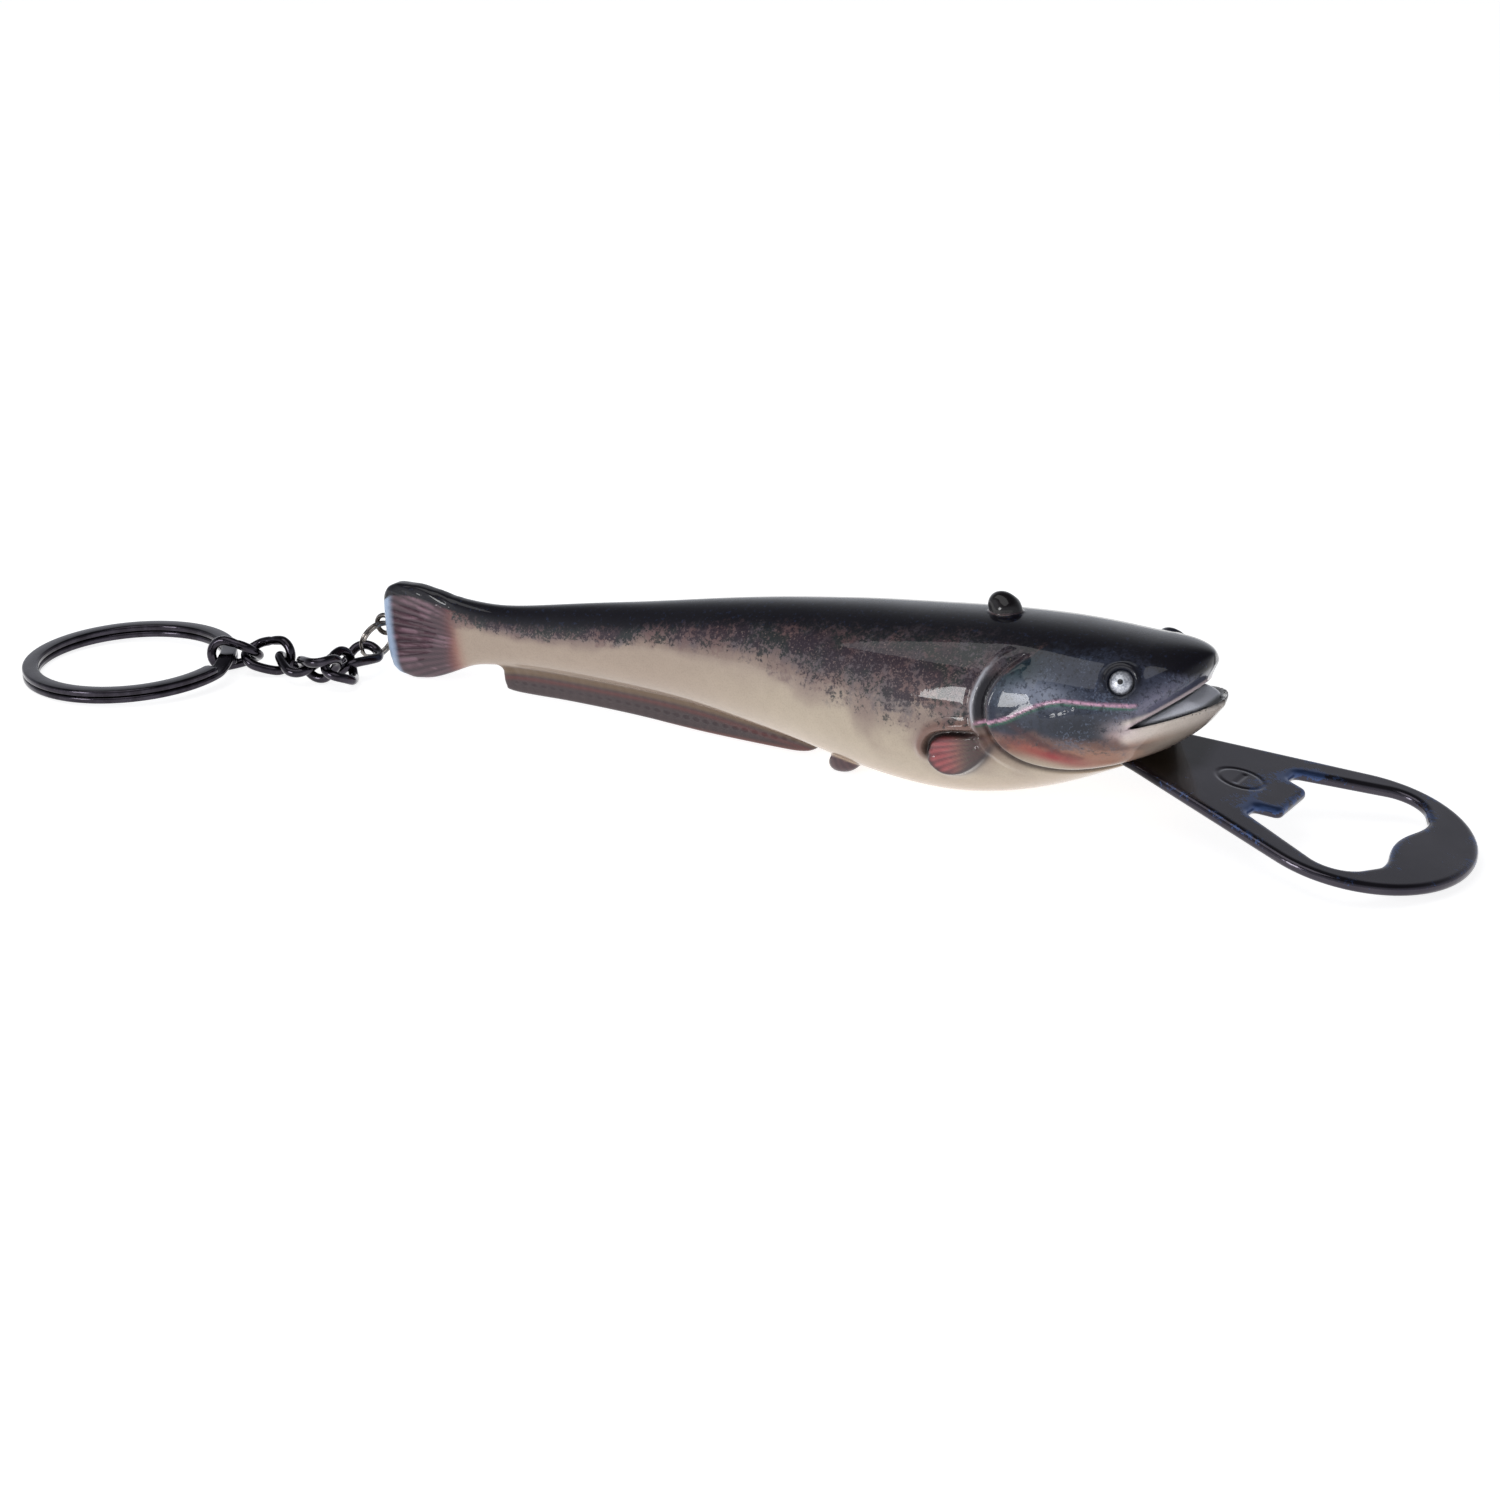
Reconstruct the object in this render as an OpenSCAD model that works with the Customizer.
// Souvenir bottle opener: a cast resin catfish with a stamped steel opener
// plate at its chin, and a key ring on a short curb chain at its tail.
// Frame: +X is the way the fish looks, +Z is up, and Z = 0 is the table.
// The origin is at the middle of the bounding box, on the table.

/* [Fish body] */
// Height of the chin point above the table, on the plate's upper face
chin_z = 10.4; // [9.8:0.1:11]
// Diameter of each eye ball
eye_d = 5; // [4:0.1:6]

/* [Opener plate] */
// Thickness of the stamped steel plate
plate_t = 1.5; // [1.4:0.1:2.2]
// Slope of the plate below level, in degrees
plate_pitch = 11.1; // [9:0.1:12]
// Distance from the chin point to the plate's front edge
plate_len = 43.4; // [40:0.1:46]
// Greatest width of the plate
plate_w = 32.6; // [30:0.1:35]
// Width of the plate where it leaves the chin
neck_w = 12.4; // [11:0.1:14]
// Length of the tang inside the resin
tang_len = 26; // [20:1:32]
// Greatest width of the bottle cap opening
hole_w = 26.8; // [26:0.1:28]
// Distance from the chin point to the tip of the lifting tooth
tooth_x = 20.2; // [19:0.1:21]
// Width of the tooth at its tip
tooth_w = 9; // [7:0.5:10]
// Distance from the chin point to the low bump at the opening's far edge
bump_x = 33.6; // [32:0.1:35]

/* [Key ring] */
// Outside diameter of the key ring
ring_od = 30; // [28:0.5:32]
// Radial width of the key ring's flat wire
ring_w = 2.3; // [1.8:0.1:2.6]
// Thickness of one of the key ring's two turns
ring_turn_t = 0.95; // [0.8:0.05:1.1]
// How far the key ring leans, with its chain side lifted by the first link, in degrees
ring_tilt = 3; // [2.5:0.1:4]

/* [Chain] */
// Wire diameter of the chain links
link_wire = 1.35; // [1.2:0.05:1.4]
// Outside length of a chain link
link_len = 8; // [7.6:0.1:8.4]
// Outside width of a chain link
link_w = 5.8; // [5.6:0.1:6]
// Twist of a link from one end to the other, in degrees
link_twist = 65; // [60:5:80]

/* [Tail ring and screw eye] */
// Outside diameter of the small split ring
tail_ring_od = 6; // [5.8:0.1:6.2]
// Wire diameter of each of its two turns
tail_ring_wire = 0.5; // [0.4:0.05:0.5]
// Mean diameter of the screw eye's loop
eye_loop_d = 2.6; // [2.4:0.1:2.8]
// Wire diameter of the screw eye
eye_wire = 0.7; // [0.6:0.05:0.7]
// Length of the screw eye's shank inside the tail
shank_len = 9; // [6:1:12]

/* [Hidden] */

// Centre of the key ring, measured from the chin point, and the way its chain side faces
ring_x = -147.2;
ring_y = -18.6;
ring_yaw = 30;
// Centre of the screw eye's loop, which is half buried in the tail's rear edge
screw_x = -116.8;
screw_z = 6.8;

// The chin point in the part's frame, from the outermost edges of plate and key ring
front_x = plate_len * cos(plate_pitch);
chin_x = -(front_x + ring_x - ring_od / 2) / 2;
chin_y = -(plate_w / 2 + ring_y - ring_od / 2) / 2;

// Body sections from tail to snout: [x, top, bottom, half width]
SECTIONS = [
    [-115.9, 10.6, 2.4, 0.7], [-115.0, 12.3, 0.4, 1.2], [-113.0, 13.3, 0.0, 1.4],
    [-110.5, 13.4, 0.0, 1.5], [-108.0, 13.3, 0.6, 1.6], [-105.0, 12.8, 2.0, 1.8],
    [-102.0, 12.6, 3.3, 2.0], [-98.0, 12.7, 4.1, 2.2], [-92.0, 13.6, 4.6, 2.8],
    [-84.0, 15.2, 4.8, 3.7], [-75.0, 16.9, 4.8, 4.8], [-66.0, 18.7, 4.4, 6.0],
    [-57.0, 20.4, 3.4, 7.5], [-48.0, 21.8, 2.2, 9.0], [-40.0, 22.7, 0.8, 10.4],
    [-32.0, 23.5, 0.0, 11.6], [-25.0, 24.2, 0.2, 12.2], [-18.0, 24.7, 1.6, 12.4],
    [-12.0, 25.0, 3.5, 12.2], [-6.0, 25.0, 6.0, 11.4], [-1.0, 24.7, 8.4, 10.3],
    [3.0, 24.1, 11.0, 8.7], [6.0, 23.2, 13.2, 6.8], [8.0, 22.0, 15.2, 4.6],
    [9.4, 20.4, 17.0, 2.2]
];
section_sides = 28;
section_steps = 2;

// Corner of the mouth as [x, z], the slopes of the lower and upper lips, and the gap's reach
mouth_corner = [0.6, 15.4];
lower_lip_rise = 0.32;
upper_lip_rise = 0.7;
mouth_reach = 12;

// Centre of the left eye ball
eye_at = [-0.6, 7.6, 20.6];

// Round corners of the cap opening: beside the tooth, at its widest, and at its front
notch_at = [18, 7.2];
notch_r = 1.2;
side_x = 29.3;
side_r = 4.6;
front_at = [31.6, 7.5];
front_r = 3.2;
bump_r = 9;
tooth_r = 0.8;
tooth_root_x = 15;

// The two holes through the tang, which the resin fills, as distances from its end
tang_hole_d = 5;
tang_hole_x = [6, 16];

// Resting poses of the chain links: [centre, rotation], measured from the chin point
LINK_POSES = [
    [[-134.6, -11.1, 2.7], [-60, 5, 35]],
    [[-130.2, -9.3, 2.8], [-135, 0, 15]],
    [[-125.4, -9.3, 2.1], [165, -5, -30]],
    [[-120.7, -10.7, 3.2], [-30, -30, -25]],
    [[-118.2, -8.5, 2.6], [45, 0, 105]],
    [[-119.1, -3.6, 2.3], [170, -15, 80]]
];
TAIL_RING_POSE = [[-118.0, -0.2, 4.3], [150, 70, 130]];

// ---------------------------------------------------------------- helpers

// Smooth curve through rows of numbers: value between rows i and i + 1 at fraction t
function smooth_row(rows, i, t) =
    let (a = rows[max(i - 1, 0)])
    let (b = rows[i])
    let (c = rows[min(i + 1, len(rows) - 1)])
    let (d = rows[min(i + 2, len(rows) - 1)])
    0.5 * (2 * b + (c - a) * t + (2 * a - 5 * b + 4 * c - d) * t * t
        + (3 * b - a - 3 * c + d) * t * t * t);

// Every section of the body, with the smooth ones between the given ones
function body_rows() = concat(
    [for (i = [0 : len(SECTIONS) - 2]) for (k = [0 : section_steps - 1])
        smooth_row(SECTIONS, i, k / section_steps)],
    [SECTIONS[len(SECTIONS) - 1]]);

// One oval section of the body as a ring of points
function oval(row) = [
    for (j = [0 : section_sides - 1])
        let (a = 360 * j / section_sides)
        [row[0], row[3] * cos(a), (row[1] + row[2]) / 2 + (row[1] - row[2]) / 2 * sin(a)]
];

// Faces of a tube whose rings have n points each
function wall_faces(rings, n) = [
    for (i = [0 : rings - 2]) for (j = [0 : n - 1])
        let (k = (j + 1) % n)
        each [[i * n + j, (i + 1) * n + j, (i + 1) * n + k],
              [i * n + j, (i + 1) * n + k, i * n + k]]
];

// A closed loft through rings of points, capped at both ends
module loft(rings) {
    n = len(rings[0]);
    last = (len(rings) - 1) * n;
    first_cap = [for (j = [0 : n - 1]) j];
    last_cap = [for (j = [n - 1 : -1 : 0]) last + j];
    polyhedron([for (r = rings) each r], concat([first_cap, last_cap], wall_faces(len(rings), n)));
}

// Place children at the chin point
module from_chin() {
    translate([chin_x, chin_y, 0]) children();
}

// Place children in the plate's own plane: X along the slope, Z = 0 on its upper face
module on_plate() {
    from_chin() translate([0, 0, chin_z]) rotate([0, plate_pitch, 0]) children();
}

module ball(at, d) {
    translate(at) sphere(d = d, $fn = 20);
}

// ---------------------------------------------------------------- fish

// A blade between two long edges given as [x, y, z] ends, with round edges of diameter d
module blade(points, d) {
    hull() {
        for (p = points) {
            ball(p, d);
        }
    }
}

module fish_fins() {
    // Anal fin, along the underside of the rear half
    blade([[-96.4, 0, 1.8], [-96.6, 0, 4.6], [-60, 0, 0.8], [-51.4, 0, 0.8], [-48, 0, 2.6]], 1.6);
    // Stub of the dorsal fin
    blade([[-21.6, 0, 26], [-20.6, 0, 26], [-22, 0, 23.6], [-19.2, 0, 23.6]], 2.4);
    for (side = [-1, 1]) {
        // Pectoral fin, folded back along the flank
        blade([[-17.5, side * 11.9, 11.4], [-24, side * 12.2, 9.4], [-23.4, side * 11.5, 7.2],
               [-19.5, side * 11.2, 7.6]], 2);
        // Pelvic fin, which reaches the table
        blade([[-43, side * 3.4, 0.7], [-41, side * 3.6, 0.7], [-40, side * 3, 3]], 1.4);
    }
}

module fish_solid() {
    from_chin() {
        loft([for (row = body_rows()) oval(row)]);
        fish_fins();
        for (side = [-1, 1]) {
            translate([eye_at[0], side * eye_at[1], eye_at[2]]) sphere(d = eye_d, $fn = 20);
        }
    }
}

// A thin rod across the mouth at the given point on its side view
module lip_rod(x, z) {
    translate([x, 0, z]) rotate([90, 0, 0]) cylinder(h = 30, d = 0.4, center = true, $fn = 12);
}

// The open mouth, a wedge between the upper and the lower jaw
module mouth_gap() {
    from_chin() translate([mouth_corner[0], 0, mouth_corner[1]]) hull() {
        lip_rod(0, 0.1);
        lip_rod(mouth_reach, lower_lip_rise * mouth_reach);
        lip_rod(mouth_reach, upper_lip_rise * mouth_reach);
    }
}

module fish_body() {
    color("#4a3f44") difference() {
        fish_solid();
        mouth_gap();
        plate_blank();
        eye_blank();
    }
}

// ---------------------------------------------------------------- opener plate

// Outline of the plate: flared flanks and a round front
module plate_outline() {
    front_len = 14.8;
    hull() {
        translate([plate_len - front_len, 0]) scale([1, plate_w / 2 / front_len])
            circle(front_len, $fn = 96);
        translate([-1, -neck_w / 2]) square([1, neck_w]);
    }
}

module tang_outline() {
    difference() {
        translate([-tang_len, -neck_w / 2]) square([tang_len, neck_w]);
        for (x = tang_hole_x) {
            translate([x - tang_len, 0]) circle(d = tang_hole_d, $fn = 48);
        }
    }
}

// Bottle cap opening with its lifting tooth
module cap_opening() {
    difference() {
        hull() {
            for (side = [-1, 1]) {
                translate([notch_at[0], side * notch_at[1]]) circle(notch_r, $fn = 32);
                translate([side_x, side * (hole_w / 2 - side_r)]) circle(side_r, $fn = 48);
                translate([front_at[0], side * front_at[1]]) circle(front_r, $fn = 48);
            }
        }
        // The lifting tooth
        hull() {
            for (side = [-1, 1]) {
                translate([tooth_x - tooth_r, side * (tooth_w / 2 - tooth_r)]) circle(tooth_r, $fn = 32);
                translate([tooth_root_x, side * (tooth_w / 2 + tooth_r / 2)]) circle(tooth_r, $fn = 32);
            }
        }
        // The low bump that the cap's far edge bears on
        translate([bump_x + bump_r, 0]) circle(bump_r, $fn = 64);
    }
}

module plate_blank() {
    on_plate() translate([0, 0, -plate_t]) linear_extrude(plate_t) {
        difference() {
            plate_outline();
            cap_opening();
        }
        tang_outline();
    }
}

module opener_plate() {
    color("#2b2930") plate_blank();
}

// ---------------------------------------------------------------- rings and screw eye

module eye_blank() {
    from_chin() translate([screw_x, 0, screw_z]) {
        rotate([90, 0, 0]) rotate_extrude($fn = 48) translate([eye_loop_d / 2, 0])
            circle(d = eye_wire, $fn = 24);
        translate([eye_loop_d / 2, 0, 0]) rotate([0, 90, 0])
            cylinder(h = shank_len, d = eye_wire, $fn = 32);
    }
}

module screw_eye() {
    color("#8a8a8e") eye_blank();
}

module tail_split_ring() {
    color("#8a8a8e") from_chin() translate(TAIL_RING_POSE[0]) rotate(TAIL_RING_POSE[1])
        rotate_extrude($fn = 64) for (up = [-0.45, 0.45]) {
            translate([tail_ring_od / 2 - tail_ring_wire / 2, up * tail_ring_wire])
                circle(d = tail_ring_wire, $fn = 24);
        }
}

module key_ring() {
    lift = ring_od / 2 * sin(ring_tilt);
    color("#1f1d26") from_chin() translate([ring_x, ring_y, lift]) rotate([0, -ring_tilt, ring_yaw])
        rotate_extrude($fn = 128) for (turn = [0, 1]) {
            translate([ring_od / 2 - ring_w, turn * ring_turn_t]) square([ring_w, ring_turn_t]);
        }
}

// ---------------------------------------------------------------- chain

link_rings = 36;
link_sides = 10;

// Centre line of an oval link at turn a, before the twist
function oval_point(a) =
    let (r = (link_w - link_wire) / 2)
    let (half = (link_len - link_w) / 2)
    [r * cos(a) + half * sign(cos(a)) * min(1, 6 * abs(cos(a))), r * sin(a), 0];

// Turn a point about the link's long axis by the twist at that place
function twisted(p) =
    let (a = link_twist * p[0] / (link_len - link_wire))
    [p[0], p[1] * cos(a) - p[2] * sin(a), p[1] * sin(a) + p[2] * cos(a)];

function unit(v) = v / norm(v);

// A ring of wire around the centre line at turn a
function wire_ring(a) =
    let (step = 180 / link_rings)
    let (middle = twisted(oval_point(a)))
    let (along = unit(twisted(oval_point(a + step)) - twisted(oval_point(a - step))))
    let (side = unit(cross(along, twisted(oval_point(a) + [0, 0, 1]) - middle)))
    let (up = cross(side, along))
    [for (j = [0 : link_sides - 1])
        let (b = 360 * j / link_sides)
        middle + link_wire / 2 * (cos(b) * side + sin(b) * up)];

module chain_link(pose) {
    points = [for (i = [0 : link_rings - 1]) each wire_ring(360 * i / link_rings)];
    total = link_rings * link_sides;
    faces = [for (i = [0 : link_rings - 1]) for (j = [0 : link_sides - 1])
        let (k = (j + 1) % link_sides)
        each [[i * link_sides + j, ((i + 1) * link_sides + k) % total, ((i + 1) * link_sides + j) % total],
              [i * link_sides + j, i * link_sides + k, ((i + 1) * link_sides + k) % total]]];
    color("#1f1d26") from_chin() translate(pose[0]) rotate(pose[1])
        polyhedron(points, faces);
}

fish_body();
opener_plate();
screw_eye();
tail_split_ring();
chain_link(LINK_POSES[5]);  // chain_link_6
chain_link(LINK_POSES[4]);  // chain_link_5
chain_link(LINK_POSES[3]);  // chain_link_4
chain_link(LINK_POSES[2]);  // chain_link_3
chain_link(LINK_POSES[1]);  // chain_link_2
chain_link(LINK_POSES[0]);  // chain_link_1
key_ring();
